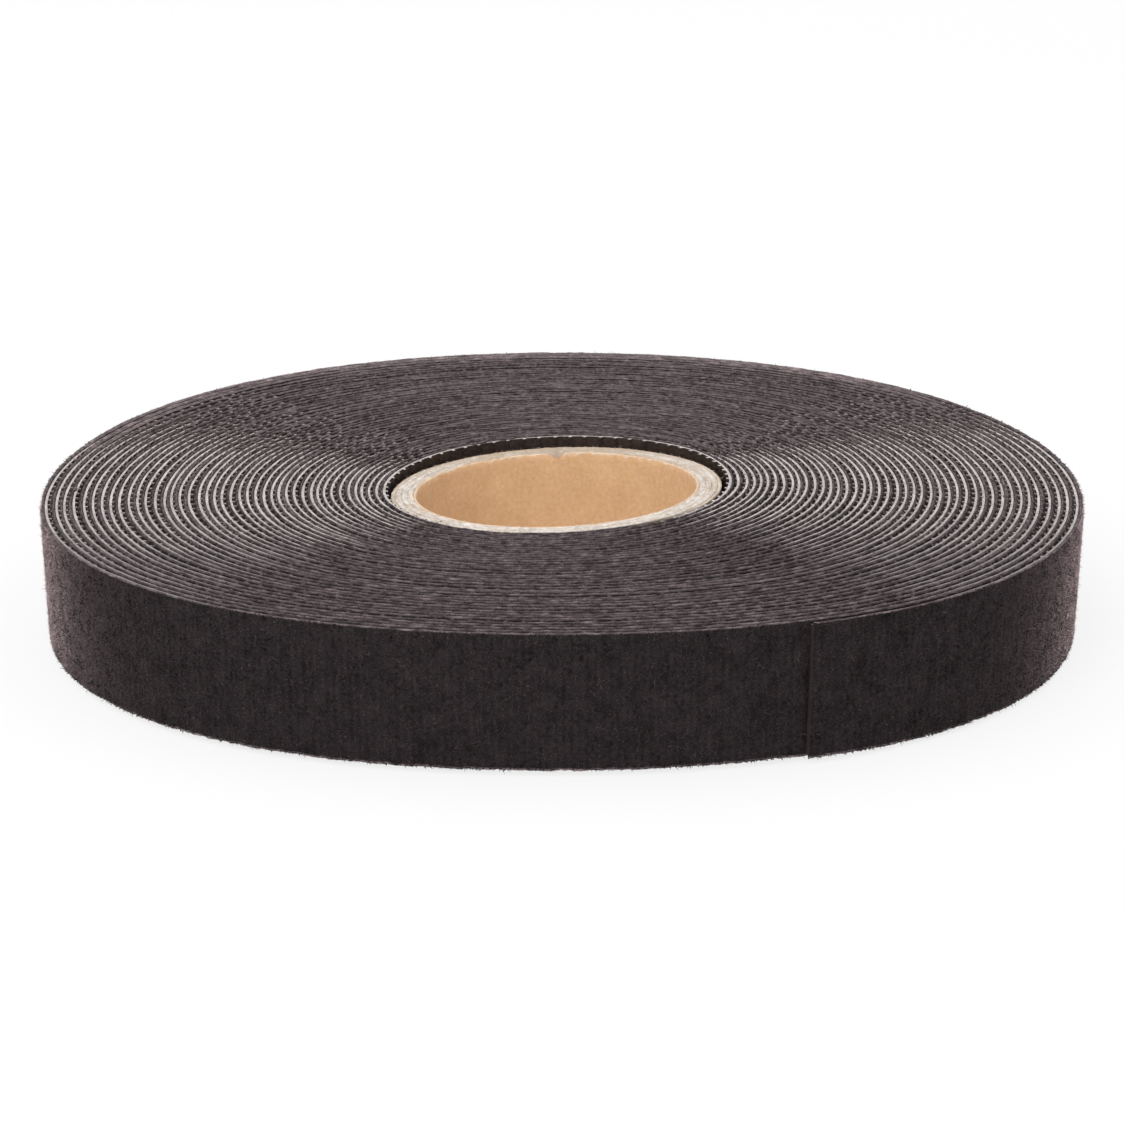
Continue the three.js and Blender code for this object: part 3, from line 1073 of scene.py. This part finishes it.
tail_spans = [
    ("free_end_by_the_roll", "roll", "free_end_root", root_bend, ()),
    ("free_end_halfway", "free_end_root", "free_end_middle", middle_bend, ("root", "middle")),
    ("free_end_cut_end", "free_end_middle", "free_end_tip", tip_bend, ("tip",)),
]
BEND_START_SHARE = 0.8
half_link = link_angle / 2
for span, back, front in zip(tail_spans, tail_cuts[:-1], tail_cuts[1:]):
    name, inner_body, outer_body, bend, links = span
    length = joined([
        pile_skin(samples(front, back, PILE_STEP)),
        film_skin(samples(front, back, FILM_STEP)),
        edge_hook_skins(front, back, True),
        edge_hook_skins(front, back, False),
        hook_field(front, back),
        face_tufts(front, back),
        face_hairs(front, back),
        lower_hairs(front, back),
        edge_hairs(front, back),
    ])
    piece = add_piece(name, length, TAPE_MATERIALS)
    shade_as_face(piece, length, NAP)
    ends = np.array([bend + half_link * BEND_START_SHARE, bend - half_link])
    start, end = (tuple(point) for point in tape_points(ends, 0.0, TAPE_WIDTH / 2).tolist())
    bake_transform(piece)
    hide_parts(*(f"free_end_{link}_{web}" for link in links for web in ("pile", "hooks")))

# Core

for number, ply in enumerate(CORE_PLIES):
    slot = {"core_liner": LINER, "core_wrap": WRAP}.get(ply.node, BOARD)
    seam_direction = FIRST_SEAM_DIRECTION + number * SEAM_STAGGER
    skin = core_skin(ply, seam_direction, 30 + 2 * number, slot, nicked=slot == LINER)
    piece = add_piece(f"{ply.node}_strip", skin, CORE_MATERIALS)
    on_roll(piece, "grey_board" if slot == BOARD else "kraft_paper", ply.node)
on_roll(add_piece("core_cut_fibres", core_fibres(CORE_FIBRES, BOARD), CORE_MATERIALS), "grey_board")


# Camera, light and floor

PHOTO_SIZE = 1124
CAMERA_ELEVATION = math.radians(16.75)
CAMERA_DISTANCE = 0.715
FOCAL_PIXELS = 4645
AIM_PIXEL = (557.9, 543.8)
AIM_HEIGHT = 11.1 * MM
WORLD_LEVEL = 0.88
FLOOR_GLOW = 0.8
FLOOR_HALF_WIDTH = 3.0


def add_camera():
    """The photograph's view: from the front and a little above, with the roll about in the middle."""
    lens = bpy.data.cameras.new("camera")
    lens.sensor_width = 36
    lens.lens = lens.sensor_width * FOCAL_PIXELS / PHOTO_SIZE
    lens.shift_x = (PHOTO_SIZE / 2 - AIM_PIXEL[0]) / PHOTO_SIZE
    lens.shift_y = (AIM_PIXEL[1] - PHOTO_SIZE / 2) / PHOTO_SIZE
    camera = bpy.data.objects.new("camera", lens)
    away, up = CAMERA_DISTANCE * math.cos(CAMERA_ELEVATION), CAMERA_DISTANCE * math.sin(CAMERA_ELEVATION)
    camera.location = (0, -away, AIM_HEIGHT + up)
    camera.rotation_euler = (math.pi / 2 - CAMERA_ELEVATION, 0, 0)
    bpy.context.scene.collection.objects.link(camera)
    bpy.context.scene.camera = camera


def add_softbox(name, power, size, place, aim):
    """A square area lamp that faces a point."""
    lamp = bpy.data.lights.new(name, "AREA")
    lamp.energy = power
    lamp.size = size
    softbox = bpy.data.objects.new(name, lamp)
    softbox.location = place
    way = np.array(aim) - np.array(place)
    softbox.rotation_euler = (math.atan2(math.hypot(way[0], way[1]), -way[2]), 0, math.atan2(-way[0], way[1]))
    bpy.context.scene.collection.objects.link(softbox)


def seen_plainly(tree):
    """1 for rays from the camera, a mirror or a clear body, and 0 for light that falls on the roll."""
    path = tree.nodes.new("ShaderNodeLightPath").outputs
    reflected = add_math(tree, "MAXIMUM", path["Is Glossy Ray"], path["Is Transmission Ray"])
    return add_math(tree, "MAXIMUM", path["Is Camera Ray"], reflected)


def add_floor():
    """A wide pale sheet that the camera sees as near white, with the roll's soft shadow."""
    material, tree, shader = new_material("pale_floor", Roughness=0.9, Base_Color=(0.86, 0.86, 0.86))
    glow = add_node(tree, "ShaderNodeEmission", Color=(1.0, 1.0, 1.0), Strength=1.0)
    mix = tree.nodes.new("ShaderNodeMixShader")
    tree.links.new(add_math(tree, "MULTIPLY", seen_plainly(tree), FLOOR_GLOW), mix.inputs["Fac"])
    tree.links.new(shader.outputs["BSDF"], mix.inputs[1])
    tree.links.new(glow.outputs["Emission"], mix.inputs[2])
    output = next(n for n in tree.nodes if n.bl_idname == "ShaderNodeOutputMaterial")
    tree.links.new(mix.outputs["Shader"], output.inputs["Surface"])
    corners = FLOOR_HALF_WIDTH * np.array([[-1, -1, 0], [1, -1, 0], [1, 1, 0], [-1, 1, 0]])
    sheet = Patch(corners, np.array([[0, 1, 2, 3]]), np.zeros((0, 3), int), np.zeros(1), np.zeros(0), corners)
    add_piece("floor", sheet, [material])


def add_world():
    """White surroundings: a plain level of light, and full white where the camera sees them."""
    world = bpy.data.worlds.new("white_room")
    bpy.context.scene.world = world
    world.use_nodes = True
    tree = world.node_tree
    background = tree.nodes["Background"]
    background.inputs["Color"].default_value = (1, 1, 1, 1)
    tree.links.new(add_range(tree, seen_plainly(tree), 0, 1, WORLD_LEVEL, 1.0), background.inputs["Strength"])


add_camera()
add_world()
add_floor()
add_softbox("overhead_softbox", 2.0, 0.9, (-0.15, 0.25, 0.9), (0, 0, 0))
add_softbox("front_softbox", 6.5, 0.8, (-0.35, -1.0, 0.75), (0, 0, 0.01))
bpy.context.scene.view_settings.view_transform = "Standard"
